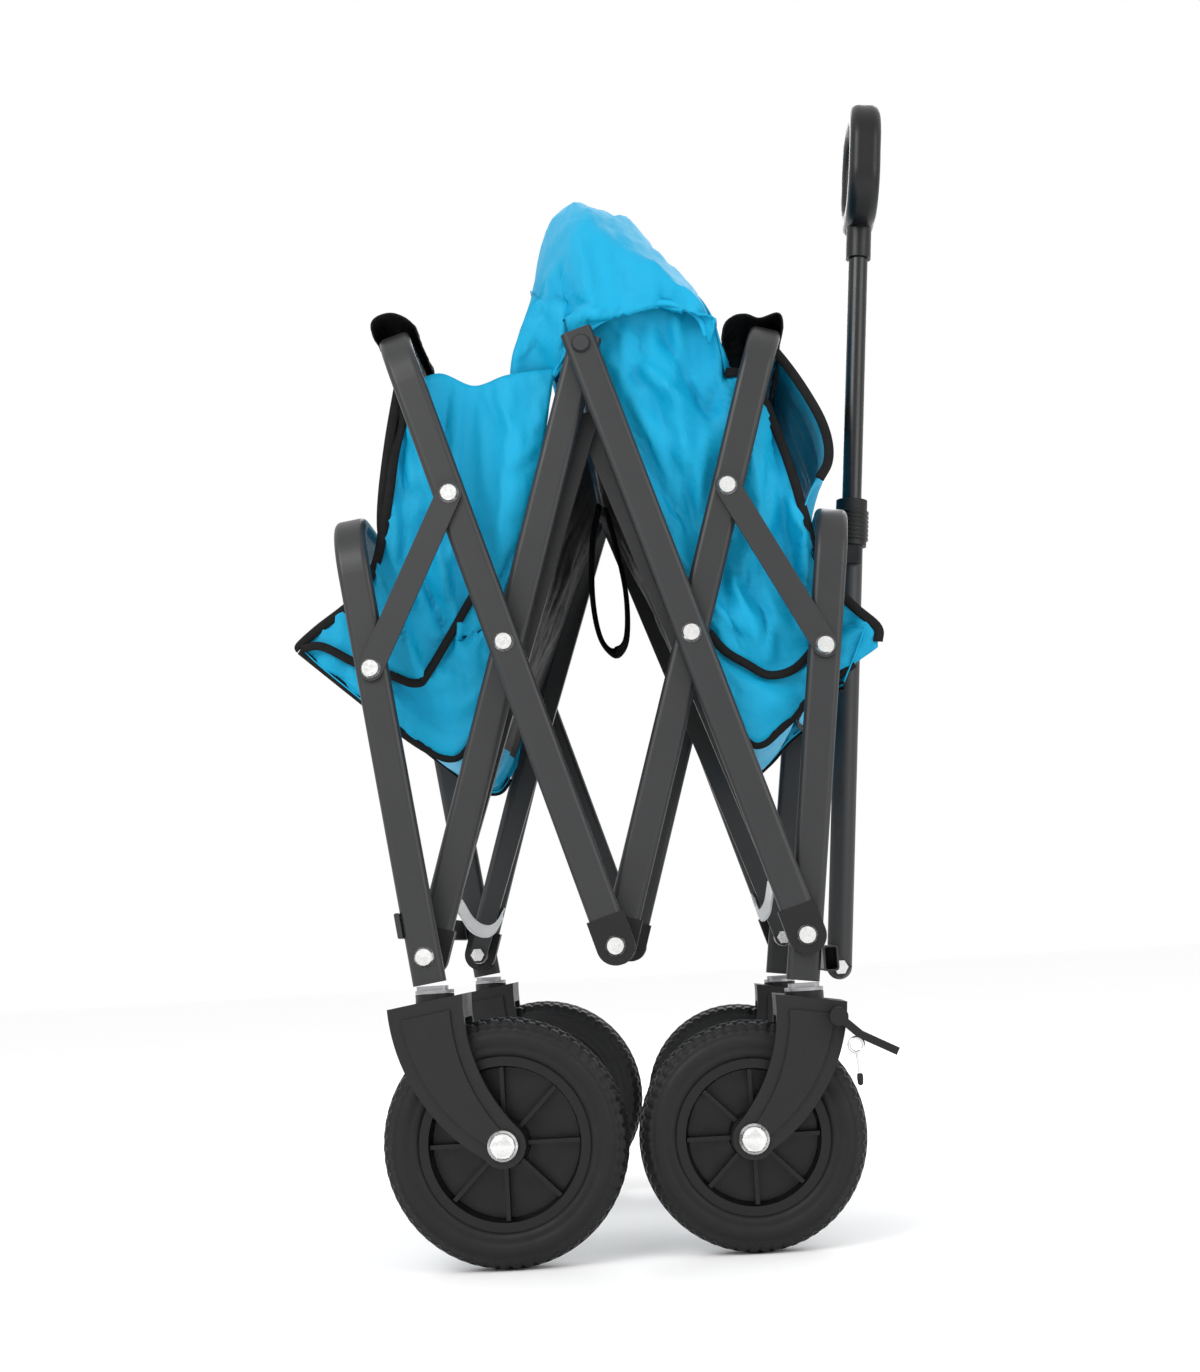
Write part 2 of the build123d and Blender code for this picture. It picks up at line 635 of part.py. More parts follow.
side_cloths("rear_side_cloths", [
    (-146, 706), (-94, 706), (-58, 716), (-45, 600), (-72, 500), (-122, 400), (-190, 446), (-249, 497),
    (-214, 517), (-178, 548), (-170, 600),
])
side_cloths("front_side_cloths", [
    (140, 686), (100, 690), (60, 716), (45, 600), (70, 500), (118, 384), (166, 420), (232, 472), (196, 500),
    (171, 540), (166, 600),
])
cloth_run("rear_end_cloth", [(-149, 711), (-168, 600), (-173, 548), (-246, 499), (-188, 447)], end_half)
cloth_run("front_end_cloth", [(150, 698), (166, 600), (172, 548), (192, 490), (166, 436)], end_half)
cloth_run("floor_cloth", [
    (-184, 441), (-120, 402), (-40, 560), (0, 654), (40, 560), (116, 392), (160, 428),
], floor_half)
cloth_run("hood_cloth", [
    (-64, 745), (-54, 785), (-30, 846), (-8, 868), (20, 869), (53, 850), (93, 793), (107, 760), (104, 745),
], hood_half)
cloth_run("pull_strap", [
    (-2, 634), (-12, 540), (-4, 504), (12, 500), (20, 524), (14, 560), (4, 634),
], strap_half, strap_thick)
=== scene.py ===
import json
from math import cos, hypot, pi, radians, sin

import bmesh
import bpy
from mathutils import Matrix, Vector, noise


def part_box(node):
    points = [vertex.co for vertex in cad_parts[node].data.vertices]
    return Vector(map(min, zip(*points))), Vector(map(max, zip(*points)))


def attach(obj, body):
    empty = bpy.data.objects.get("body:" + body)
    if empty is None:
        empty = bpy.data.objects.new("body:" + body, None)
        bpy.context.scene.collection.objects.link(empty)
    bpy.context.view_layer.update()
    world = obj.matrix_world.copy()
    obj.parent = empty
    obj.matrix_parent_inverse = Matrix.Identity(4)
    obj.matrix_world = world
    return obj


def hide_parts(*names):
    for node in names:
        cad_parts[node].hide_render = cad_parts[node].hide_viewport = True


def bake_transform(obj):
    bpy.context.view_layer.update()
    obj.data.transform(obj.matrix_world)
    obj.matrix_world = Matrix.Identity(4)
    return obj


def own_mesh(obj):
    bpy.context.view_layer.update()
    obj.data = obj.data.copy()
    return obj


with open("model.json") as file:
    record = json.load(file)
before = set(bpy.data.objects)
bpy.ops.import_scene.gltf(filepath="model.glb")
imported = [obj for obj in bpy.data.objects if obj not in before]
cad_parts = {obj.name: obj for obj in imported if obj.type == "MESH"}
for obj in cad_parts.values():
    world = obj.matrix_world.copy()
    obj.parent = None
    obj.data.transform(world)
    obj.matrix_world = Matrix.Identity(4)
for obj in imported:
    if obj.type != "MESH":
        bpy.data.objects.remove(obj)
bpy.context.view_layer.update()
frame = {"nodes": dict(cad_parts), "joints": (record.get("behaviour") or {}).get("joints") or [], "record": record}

MM = 0.001

# Colours, linear
TURQUOISE = (0.0, 0.31, 0.53, 1)
COAT = (0.017, 0.0175, 0.0185, 1)
BLACK = (0.0035, 0.0035, 0.0038, 1)
CHARCOAL = (0.0060, 0.0061, 0.0064, 1)
ZINC = (0.78, 0.78, 0.77, 1)

joints = {j["name"]: j for j in frame["joints"]}


def pivot(name):
    """A joint's place in metres."""
    return Vector(joints[name]["pos_m"])


# Materials ---------------------------------------------------------------------------------


class Surface:
    """A small helper around one node material."""

    def __init__(self, name, colour, roughness, metallic=0.0, **extra):
        self.material = bpy.data.materials.new(name)
        self.material.use_nodes = True
        self.nodes = self.material.node_tree.nodes
        self.links = self.material.node_tree.links
        self.shader = self.nodes["Principled BSDF"]
        self.shader.inputs["Base Color"].default_value = colour
        self.shader.inputs["Roughness"].default_value = roughness
        self.shader.inputs["Metallic"].default_value = metallic
        for socket, value in extra.items():
            self.shader.inputs[socket.replace("_", " ")].default_value = value

    def node(self, kind, **values):
        made = self.nodes.new(kind)
        for key, value in values.items():
            if key in made.inputs:
                made.inputs[key].default_value = value
            else:
                setattr(made, key, value)
        return made

    def link(self, source, target):
        self.links.new(source, target)

    def coordinates(self, kind="Object"):
        return self.node("ShaderNodeTexCoord").outputs[kind]

    def noise(self, scale, detail=3.0, roughness=0.55, kind="Object"):
        made = self.node("ShaderNodeTexNoise", Scale=scale, Detail=detail, Roughness=roughness)
        self.link(self.coordinates(kind), made.inputs["Vector"])
        return made.outputs["Fac"]

    def ramp(self, factor, low, high, start=0.3, end=0.7):
        made = self.node("ShaderNodeMapRange")
        for key, value in (("From Min", start), ("From Max", end), ("To Min", low), ("To Max", high)):
            made.inputs[key].default_value = value
        self.link(factor, made.inputs["Value"])
        return made.outputs["Result"]

    def mix(self, factor, first, second):
        made = self.node("ShaderNodeMix", data_type="RGBA")
        self.link(factor, made.inputs["Factor"])
        for socket, value in ((made.inputs[6], first), (made.inputs[7], second)):
            if isinstance(value, tuple):
                socket.default_value = value
            else:
                self.link(value, socket)
        return made.outputs[2]

    def math(self, operation, first, second=None):
        made = self.node("ShaderNodeMath", operation=operation)
        for socket, value in ((made.inputs[0], first), (made.inputs[1], second)):
            if value is None:
                continue
            if isinstance(value, (int, float)):
                socket.default_value = value
            else:
                self.link(value, socket)
        return made.outputs["Value"]

    def bump(self, height, strength, distance, below=None):
        made = self.node("ShaderNodeBump", Strength=strength, Distance=distance)
        self.link(height, made.inputs["Height"])
        if below is not None:
            self.link(below, made.inputs["Normal"])
        return made.outputs["Normal"]

    def finish(self, colour=None, roughness=None, normal=None):
        for value, socket in ((colour, "Base Color"), (roughness, "Roughness"), (normal, "Normal")):
            if value is not None:
                self.link(value, self.shader.inputs[socket])
        return self.material


def shade(colour, factor):
    return tuple(min(1.0, c * factor) for c in colour[:3]) + (1,)


def powder_coat(name="powder_coat", colour=COAT, roughness=0.40, metallic=0.0):
    """Satin charcoal powder coat with fine orange peel and a little dust."""
    s = Surface(name, colour, roughness, metallic, Specular_IOR_Level=0.42)
    tone = s.mix(s.noise(5, 3), shade(colour, 0.94), shade(colour, 1.06))
    tone = s.mix(s.ramp(s.noise(700, 3), 0, 0.35, 0.62, 0.75), tone, shade(colour, 1.8))
    peel = s.bump(s.noise(1100, 2), 0.14, 0.0003)
    return s.finish(tone, s.ramp(s.noise(26, 5), roughness - 0.05, roughness + 0.07), peel)


def zinc_plate(name="zinc_plate"):
    """Bright zinc with faint cloudy passivation and tiny scratches."""
    s = Surface(name, ZINC, 0.24, 1.0)
    tone = s.mix(s.noise(140, 4), shade(ZINC, 0.80), shade(ZINC, 1.1))
    return s.finish(tone, s.ramp(s.noise(420, 4), 0.16, 0.38), s.bump(s.noise(1500, 3), 0.10, 0.0002))


def moulded(name, colour, roughness, grain=0.30, scale=1400):
    """Moulded plastic with a fine leathery grain and dusty tone changes."""
    s = Surface(name, colour, roughness, 0.0, Specular_IOR_Level=0.32)
    cells = s.node("ShaderNodeTexVoronoi", Scale=scale)
    s.link(s.coordinates(), cells.inputs["Vector"])
    tone = s.mix(s.noise(18, 5), shade(colour, 0.80), shade(colour, 1.30))
    normal = s.bump(cells.outputs["Distance"], grain, 0.00025, s.bump(s.noise(35, 2), 0.10, 0.001))
    return s.finish(tone, s.ramp(s.noise(55, 4), roughness - 0.08, roughness + 0.10), normal)


def rubber(name="tyre_rubber"):
    """Hard black tread rubber, greyed by dust on the shoulders."""
    colour = (0.0055, 0.0055, 0.0057, 1)
    s = Surface(name, colour, 0.62, 0.0, Specular_IOR_Level=0.26)
    tone = s.mix(s.noise(30, 6), shade(colour, 0.72), shade(colour, 1.6))
    tone = s.mix(s.ramp(s.noise(240, 6, 0.7), 0, 0.25, 0.58, 0.80), tone, (0.030, 0.030, 0.029, 1))
    normal = s.bump(s.noise(1300, 3), 0.30, 0.0003, s.bump(s.noise(90, 3), 0.12, 0.0006))
    return s.finish(tone, s.ramp(s.noise(70, 4), 0.46, 0.62), normal)


def woven(name, colour, thread=0.0009, sheen=0.03, roughness=0.50, depth=0.4, puckers=0.35):
    """Plain weave laid along the sheet's own length and width, in metres."""
    s = Surface(name, colour, roughness, 0.0, Specular_IOR_Level=0.22, Sheen_Weight=sheen,
                Sheen_Roughness=0.45)
    s.shader.inputs["Sheen Tint"].default_value = shade(colour, 1.6)
    split = s.node("ShaderNodeSeparateXYZ")
    s.link(s.node("ShaderNodeUVMap").outputs["UV"], split.inputs["Vector"])
    turn = 2 * pi / thread
    across = s.math("SINE", s.math("MULTIPLY", split.outputs["X"], turn))
    down = s.math("SINE", s.math("MULTIPLY", split.outputs["Y"], turn))
    weave = s.math("MULTIPLY", s.math("MULTIPLY", across, down), 0.5)
    threads = s.math("ADD", weave, s.math("MULTIPLY", s.noise(2600, 2, kind="UV"), 0.5))
    tone = s.mix(s.noise(7, 4), shade(colour, 0.88), shade(colour, 1.10))
    tone = s.mix(s.ramp(s.noise(420, 3, kind="UV"), 0, 0.30), tone, shade(colour, 0.80))
    # The raised crests of the weave are painted lighter: a painted highlight on the thread tops.
    tone = s.mix(s.ramp(weave, 0, 0.35, -0.5, 0.5), tone, shade(colour, 1.18))
    wrinkles = s.bump(s.noise(34, 4, 0.6), puckers, 0.004)
    return s.finish(tone, s.ramp(s.noise(120, 3), roughness - 0.06, roughness + 0.08),
                    s.bump(threads, depth, 0.0003, wrinkles))


COATED = powder_coat()
GLOSS_TUBE = powder_coat("gloss_black_tube", (0.0045, 0.0048, 0.0052, 1), 0.24)
PLATED = zinc_plate()
STEEL = powder_coat("turned_steel", (0.32, 0.32, 0.33, 1), 0.32, 0.95)
CAPS = moulded("black_nylon", BLACK, 0.50)
FORK = moulded("fork_nylon", CHARCOAL, 0.46)
GRIP = moulded("grip_plastic", (0.0045, 0.0045, 0.0050, 1), 0.34, 0.18)
RIM = moulded("rim_plastic", (0.0014, 0.0014, 0.0015, 1), 0.36, 0.14)
TYRE = rubber()
CLOTH = woven("turquoise_polyester", TURQUOISE)
# Black cloth for the floor near its ridge: painted shade for the dark inside of the basket.
SHADE_BLACK_CLOTH = woven("painted_shade_black_cloth", (0.0040, 0.0040, 0.0044, 1), 0.0011, 0.05, 0.55)
BINDING = woven("black_binding", (0.0034, 0.0034, 0.0038, 1), 0.0013, 0.06, 0.70, 0.9)
STRAP = woven("light_band", (0.55, 0.56, 0.57, 1), 0.0014, 0.2, 0.5, 0.6)

by_slot = {
    "frame_coat": COATED, "zinc": PLATED, "sleeve_steel": STEEL, "black_plastic": CAPS, "fork_plastic": FORK,
    "grip_plastic": GRIP, "handle_tube": GLOSS_TUBE, "tyre": TYRE, "rim_plastic": RIM, "cloth": CLOTH,
    "webbing": BINDING,
}
for row in frame["record"]["subparts"]:
    node = frame["nodes"][row["node"]]
    node.data.materials.clear()
    node.data.materials.append(by_slot[row["material_slot"]])


# Camera, floor and light -------------------------------------------------------------------


def camera():
    """Low, nearly square side view, from the near side of the wagon."""
    yaw, pitch, roll = radians(-2.08), radians(7.84), radians(3.35)
    forward = Vector((sin(yaw) * cos(pitch), cos(yaw) * cos(pitch), sin(pitch)))
    level = Vector((cos(yaw), -sin(yaw), 0))
    upward = level.cross(forward)
    right = level * cos(roll) - upward * sin(roll)
    up = level * sin(roll) + upward * cos(roll)
    data = bpy.data.cameras.new("camera")
    data.lens, data.sensor_width, data.clip_start = 50.46, 36.0, 0.05
    made = bpy.data.objects.new("camera", data)
    matrix = Matrix((right, up, -forward)).transposed().to_4x4()
    matrix.translation = Vector((0.0538, -1.7126, 0.2337))
    made.matrix_world = matrix
    bpy.context.collection.objects.link(made)
    bpy.context.scene.camera = made


def area_light(name, place, aim, size, power):
    data = bpy.data.lights.new(name, "AREA")
    data.shape, data.size, data.energy = "SQUARE", size, power
    made = bpy.data.objects.new(name, data)
    made.location = place
    made.rotation_euler = (Vector(aim) - Vector(place)).to_track_quat("-Z", "Y").to_euler()
    bpy.context.collection.objects.link(made)


def studio():
    """Pale floor and soft light all round, with a large key light from the near left."""
    bpy.ops.mesh.primitive_plane_add(size=30, location=(0, 0, 0))
    floor = bpy.context.object
    floor.name = "studio_floor"
    s = Surface("pale_floor", (0.975, 0.975, 0.975, 1), 0.8)
    tone = s.mix(s.noise(3), (0.965, 0.965, 0.965, 1), (0.985, 0.985, 0.985, 1))
    floor.data.materials.append(s.finish(tone))
    world = bpy.data.worlds.new("studio")
    world.use_nodes = True
    world.node_tree.nodes["Background"].inputs["Color"].default_value = (1, 1, 1, 1)
    world.node_tree.nodes["Background"].inputs["Strength"].default_value = 1.0
    bpy.context.scene.world = world
    bpy.context.scene.view_settings.view_transform = "Standard"
    area_light("key", (-1.4, -2.2, 2.0), (0, 0, 0.5), 1.6, 42)
    area_light("fill", (1.8, -1.6, 1.2), (0, 0, 0.4), 1.4, 16)
    area_light("back", (0.3, 2.2, 1.8), (0, 0, 0.5), 1.6, 26)


camera()
studio()


# Sheets ------------------------------------------------------------------------------------


def curve_through(points, count):
    """Catmull-Rom curve through the points, as count + 1 even steps in parameter."""
    points = [Vector(p) for p in points]
    padded = [points[0] * 2 - points[1], *points, points[-1] * 2 - points[-2]]
    made = []
    for step in range(count + 1):
        place = step / count * (len(points) - 1)
        i = min(int(place), len(points) - 2)
        t = place - i
        a, b, c, d = padded[i:i + 4]
        made.append(0.5 * (2 * b + (c - a) * t + (2 * a - 5 * b + 4 * c - d) * t**2
                           + (3 * b - a - 3 * c + d) * t**3))
    return made


def grid_through(rows, across, down):
    """Smooth grid of points through rows of guide points."""
    columns = [curve_through(row, across) for row in rows]
    lines = [curve_through([column[i] for column in columns], down) for i in range(across + 1)]
    return [[lines[i][j] for i in range(across + 1)] for j in range(down + 1)]


def side_rows(rows, y, side):
    """Guide points given as (x, z, outward) in millimetres, set at distance y on one side."""
    return [[Vector((x, side * (y + out), z)) * MM for x, z, out in row] for row in rows]


def edge_fade(i, j, across, down, width=0.18):
    """0 at the border of a grid and 1 inside."""
    u, v = i / across, j / down
    return max(0.0, min(1.0, min(u, 1 - u, v, 1 - v) / width))


def crease(grid, creases, side):
    """Press ridges and valleys into a grid along lines. Each is (start, end, height, width), mm."""
    for row in grid:
        for p in row:
            for (x0, z0), (x1, z1), height, width in creases:
                dx, dz = x1 - x0, z1 - z0
                length = hypot(dx, dz)
                px, pz = p.x / MM - x0, p.z / MM - z0
                run = (px * dx + pz * dz) / length**2
                away = abs(px * dz - pz * dx) / length
                ends = max(0.0, min(1.0, min(run, 1 - run) * 5 + 0.25))
                p.y += side * height * MM * ends * max(0.0, 1 - away / width) ** 1.5


def ripple(grid, amount, scale, seed, direction=(0, 1, 0), stretch=(1, 1, 0.45)):
    """Soft irregular folds, longer down the sheet than across it."""
    down, across = len(grid) - 1, len(grid[0]) - 1
    way = Vector(direction)
    for j, row in enumerate(grid):
        for i, p in enumerate(row):
            at = Vector((p.x * stretch[0], p.y * stretch[1], p.z * stretch[2])) * scale + Vector((seed, 0, 0))
            p += way * amount * MM * noise.fractal(at, 1.0, 2.0, 3) * edge_fade(i, j, across, down)


def sheet_object(name, grid, material, thickness=0.0011, second=None, second_from=1.0):
    """Mesh with thickness from a grid, with its own length and width as UVs in metres."""
    bm = bmesh.new()
    uv_layer = bm.loops.layers.uv.new("weave")
    verts = [[bm.verts.new(p) for p in row] for row in grid]
    down, across = len(grid) - 1, len(grid[0]) - 1
    middle = across // 2
    run = [0.0]
    for j in range(down):
        run.append(run[-1] + (grid[j + 1][middle] - grid[j][middle]).length)
    place = {}
    for j, row in enumerate(grid):
        wide = 0.0
        for i, p in enumerate(row):
            wide += (p - row[i - 1]).length if i else 0.0
            place[verts[j][i]] = (wide, run[j])
    for j in range(down):
        for i in range(across):
            face = bm.faces.new((verts[j][i], verts[j][i + 1], verts[j + 1][i + 1], verts[j + 1][i]))
            face.smooth = True
            face.material_index = 1 if second and j / down >= second_from else 0
            for loop in face.loops:
                loop[uv_layer].uv = place[loop.vert]
    mesh = bpy.data.meshes.new(name)
    bm.to_mesh(mesh)
    bm.free()
    mesh.materials.append(material)
    if second:
        mesh.materials.append(second)
    made = bpy.data.objects.new(name, mesh)
    bpy.context.collection.objects.link(made)
    made["thickness"] = thickness
    return made


def apply_modifiers(piece):
    """Replace the mesh with what its modifiers make of it."""
    depsgraph = bpy.context.evaluated_depsgraph_get()
    mesh = bpy.data.meshes.new_from_object(piece.evaluated_get(depsgraph), depsgraph=depsgraph)
    old = piece.data
    piece.modifiers.clear()
    piece.data = mesh
    bpy.data.meshes.remove(old)


def thicken(piece):
    """Give the sheet its thickness, half to each side."""
    solid = piece.modifiers.new("thickness", "SOLIDIFY")
    solid.thickness, solid.offset = piece["thickness"], 0
    del piece["thickness"]
    apply_modifiers(piece)
    piece.data.polygons.foreach_set("use_smooth", [True] * len(piece.data.polygons))


SETTLE_LIMIT = 0.012


def settle(piece, across, down, slack=0.03, frames=24, gravity=0.5, held=1):
    """Let the cloth hang from its border with a little slack, so that it buckles as cloth does.

    No point ends further than SETTLE_LIMIT from where it was laid.
    """
    group = piece.vertex_groups.new(name="held")
    border = [j * (across + 1) + i for j in range(down + 1) for i in range(across + 1)
              if i < held or j < held or i > across - held or j > down - held]
    group.add(border, 1.0, "REPLACE")
    cloth = piece.modifiers.new("cloth", "CLOTH")
    cloth.settings.quality = 6
    cloth.settings.mass = 0.25
    cloth.settings.tension_stiffness = cloth.settings.compression_stiffness = 25
    cloth.settings.shear_stiffness = 12
    cloth.settings.bending_stiffness = 0.9
    cloth.settings.shrink_min = -slack
    cloth.settings.vertex_group_mass = "held"
    cloth.settings.effector_weights.gravity = gravity
    cloth.collision_settings.use_collision = False
    cloth.point_cache.frame_start, cloth.point_cache.frame_end = 1, frames
    rest = [v.co.copy() for v in piece.data.vertices]
    for number in range(1, frames + 1):
        bpy.context.scene.frame_set(number)
    apply_modifiers(piece)
    for v, before in zip(piece.data.vertices, rest):
        moved = v.co - before
        if moved.length > SETTLE_LIMIT:
            v.co = before + moved.normalized() * SETTLE_LIMIT
    piece.vertex_groups.clear()
    bpy.context.scene.frame_set(1)


def read_back(piece, across):
    """The sheet's points after it has settled, in rows as they were laid."""
    points = [v.co.copy() for v in piece.data.vertices]
    return [points[k:k + across + 1] for k in range(0, len(points), across + 1)]


def declare(piece, body, nodes=(), blend=None, squash=None):
    """Thicken a finished sheet, hide the parts it stands for, and either set it on its body or bake its place into
    its mesh.

    The flat size is worked out from the finished mesh, so it isn't a separate measure of the cloth.
    """
    thicken(piece)
    if nodes:
        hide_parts(*nodes)
    if blend:
        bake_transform(piece)
    else:
        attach(piece, body)
        if squash:
            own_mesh(piece)


BAND_THICK, BAND_CROWN, BAND_CELLS = 0.0016, 0.0006, 4


def band(name, points, width, facing, material):
    """Flat tape along a line: its width lies across the line, its face towards facing."""
    line = curve_through(points, max(24, 6 * len(points)))
    grid = []
    for i, p in enumerate(line):
        ahead = (line[min(i + 1, len(line) - 1)] - line[max(i - 1, 0)]).normalized()
        face = Vector(facing)
        face = (face - ahead * face.dot(ahead)).normalized()
        across = ahead.cross(face)
        grid.append([p + across * width * (k / BAND_CELLS - 0.5) - face * BAND_CROWN * abs(k - BAND_CELLS / 2)
                     for k in range(BAND_CELLS + 1)])
    return sheet_object(name, grid, material, BAND_THICK)


SIDES = (("near", -1), ("far", 1))

# Side panels, in millimetres: guide points (x, z, outward of SIDE_Y) and creases
SIDE_Y = 176.0
ACROSS, DOWN = 44, 56

rear_side_guides = [
    [(-146, 706, 2), (-120, 716, -4), (-92, 704, -6), (-62, 709, 2), (-24, 712, 0)],
    [(-160, 652, 0), (-134, 656, -8), (-102, 652, -12), (-68, 655, 3), (-36, 652, 0)],
    [(-171, 592, -2), (-144, 590, -10), (-110, 590, -9), (-78, 590, 2), (-50, 592, -1)],
    [(-188, 540, -3), (-158, 530, -8), (-122, 528, -5), (-92, 530, 0), (-66, 535, 0)],
    [(-240, 500, -6), (-194, 482, -7), (-148, 470, -4), (-112, 475, 0), (-84, 485, 0)],
    [(-246, 491, -8), (-188, 439, -9), (-152, 408, -6), (-122, 394, -2), (-102, 418, 0)],
]
rear_creases = [
    ((-150, 700), (-158, 560), -11, 18), ((-128, 706), (-166, 560), 8, 11),
    ((-112, 700), (-150, 560), -7, 12),
    ((-60, 700), (-82, 560), 6, 18), ((-118, 660), (-162, 500), -9, 12), ((-130, 570), (-110, 470), 8, 10),
    ((-180, 566), (-148, 466), 9, 10), ((-204, 506), (-128, 416), -8, 12), ((-104, 610), (-98, 480), -9, 11),
    ((-134, 640), (-128, 520), 7, 9), ((-150, 560), (-120, 500), -7, 9), ((-168, 540), (-140, 452), 7, 8),
    ((-116, 590), (-132, 520), 6, 7), ((-112, 520), (-126, 450), 6, 8), ((-214, 520), (-178, 470), 6, 9),
]
front_side_guides = [
    [(4, 752, 4), (34, 778, 10), (70, 782, 8), (104, 756, 2), (116, 700, -2)],
    [(16, 704, 2), (48, 716, 4), (82, 720, -6), (112, 708, -8), (138, 690, -4)],
    [(34, 648, 0), (66, 650, 6), (98, 648, -10), (130, 646, -4), (158, 640, -8)],
    [(48, 592, 0), (80, 590, -4), (112, 588, -12), (142, 588, -8), (170, 590, -8)],
    [(64, 532, 0), (94, 526, 2), (126, 528, -10), (156, 526, -14), (186, 522, -8)],
    [(84, 482, 0), (112, 466, 0), (140, 462, -6), (176, 470, -12), (222, 484, -6)],
    [(100, 430, 0), (118, 390, -2), (144, 404, -6), (172, 430, -9), (224, 464, -8)],
]
front_creases = [
    ((62, 744), (100, 668), -13, 16), ((100, 668), (126, 716), -9, 11), ((40, 716), (98, 664), 8, 11),
    ((78, 760), (74, 660), 8, 12), ((100, 660), (84, 556), 8, 12), ((56, 690), (92, 560), -11, 14),
    ((84, 700), (72, 560), 6, 9), ((108, 748), (120, 640), 7, 11), ((48, 750), (44, 690), -8, 12),
    ((128, 680), (140, 540), 10, 13), ((150, 660), (160, 520), -10, 12), ((140, 640), (170, 560), 7, 10),
    ((124, 568), (152, 480), 10, 10), ((100, 568), (114, 466), -9, 12), ((138, 506), (184, 520), -7, 10),
    ((172, 566), (164, 480), 9, 9), ((154, 470), (214, 490), -7, 9), ((112, 540), (128, 470), 8, 9),
    ((150, 520), (132, 458), 7, 8),
]


def side_panels():
    """The long sides of the basket, gathered between the crossed bars."""
    for end, guides, creases, way in (
        ("rear", rear_side_guides, rear_creases, -1), ("front", front_side_guides, front_creases, 1),
    ):
        bodies = (f"{end}_scissor", f"{end}_bow")
        start, stop = (way * 0.045, 0, 0.6), (way * 0.13, 0, 0.62)
        for word, side in SIDES:
            grid = grid_through(side_rows(guides, SIDE_Y, side), ACROSS, DOWN)
            crease(grid, creases, side)
            ripple(grid, 5.0, 24, 3.7 * side + len(end))
            piece = sheet_object(f"{end}_side_panel_{word}", grid, CLOTH)
            settle(piece, ACROSS, DOWN)
            grid = read_back(piece, ACROSS)
            bind_side(f"{end}_{word}", end, grid, side, bodies, start, stop)
            declare(piece, None, [f"{end}_side_cloths"],
                    blend=(bodies[0], bodies[1], start, stop))


def on_grid(grid, places, side, lift=5.0):
    """Points given as (x, z) in millimetres, laid on the nearest point of a sheet."""
    flat = [p for row in grid for p in row]
    made = []
    for x, z in places:
        near = min(flat, key=lambda p: (p.x - x * MM) ** 2 + (p.z - z * MM) ** 2)
        made.append(Vector((x * MM, near.y + side * lift * MM, z * MM)))
    return curve_through(made, 24)


seams = {
    "rear": [(-244, 492), (-226, 492), (-199, 477), (-170, 464), (-150, 456), (-138, 466), (-101, 526)],
    "front": [(86, 486), (100, 468), (117, 456), (134, 446), (154, 449), (172, 466), (190, 492)],
}
upright_width, seam_width, hem_width = 7.5, 6.5, 5.5
upright_lift, bottom_lift = 1.6, 1.4


def bind_side(name, end, grid, side, bodies, start, stop):
    """Black bindings: the upright seam, the bottom edge and the curved floor seam."""
    outer = 0 if end == "rear" else len(grid[0]) - 1
    upright = [row[outer] + Vector((0, side * upright_lift * MM, 0)) for row in grid][::6]
    bottom = [p + Vector((0, side * bottom_lift * MM, 0)) for p in grid[-1]][::5]
    for part, line, width in (
        ("corner_binding", upright, upright_width),
        ("bottom_binding", bottom, hem_width),
        ("floor_seam", on_grid(grid, seams[end], side), seam_width),
    ):
        piece = band(f"{name}_{part}", line, width * MM, (0, side, 0), BINDING)
        declare(piece, None,
                blend=(bodies[0], bodies[1], start, stop))


side_panels()


FLARE_TOP, FLARE_DROP, FLARE_LOW, LOW_SHARE, EDGE_LIFT = 560, 90, 470, 0.6, 0.0016


def end_panel(end):
    """The end of the basket, from the bow's rail down inside the posts and out below them."""
    if end == "rear":
        profile = [(-150, 722), (-163, 662), (-172, 604), (-174, 556), (-200, 524), (-240, 500),
                   (-240, 488), (-190, 441)]
        body, way, flare = "rear_frame", -1, 0.0
    else:
        profile = [(152, 722), (172, 692), (191, 652), (194, 622), (182, 600), (172, 578), (171, 552),
                   (178, 524), (188, 500), (190, 484), (168, 434)]
        body, way, flare = "front_frame", 1, 30.0
    half = 170.0
    rows = []
    for x, z in profile:
        row = []
        for k in range(-4, 5):
            share = abs(k) / 4
            below = max(0.0, (FLARE_TOP - z) / FLARE_DROP)
            out = flare * share**3 * below * (1 if z > FLARE_LOW else LOW_SHARE)
            row.append(Vector((x + way * out, half * k / 4, z)) * MM)
        rows.append(row)
    across, down = 64, 48
    grid = grid_through(rows, across, down)
    ripple(grid, 9.0, 17, 8.0 + way, direction=(-way, 0, 0.25), stretch=(1, 1, 0.35))
    piece = sheet_object(f"{end}_end_panel", grid, CLOTH)
    hem = band(f"{end}_end_hem", [p + Vector((way * EDGE_LIFT, 0, 0)) for p in grid[-1]][::6], 0.007,
               (way, 0, 0), BINDING)
    fold = ("fold", dict(axis=(0, 0, 1), anchor=(0, 0, 0.44), keep=0.55))
    declare(hem, body, squash=fold)
    for word, column, side in (("near", 0, -1), ("far", -1, 1)):
        line = [row[column] + Vector((way * EDGE_LIFT, side * EDGE_LIFT, 0))
                for row in grid[:down * 2 // 5:3]]
        edge = band(f"{end}_end_binding_{word}", line, 0.0075, (0, side, 0), BINDING)
        declare(edge, body, squash=fold)
    declare(piece, body, [f"{end}_end_cloth"], squash=fold)


end_panel("rear")
end_panel("front")


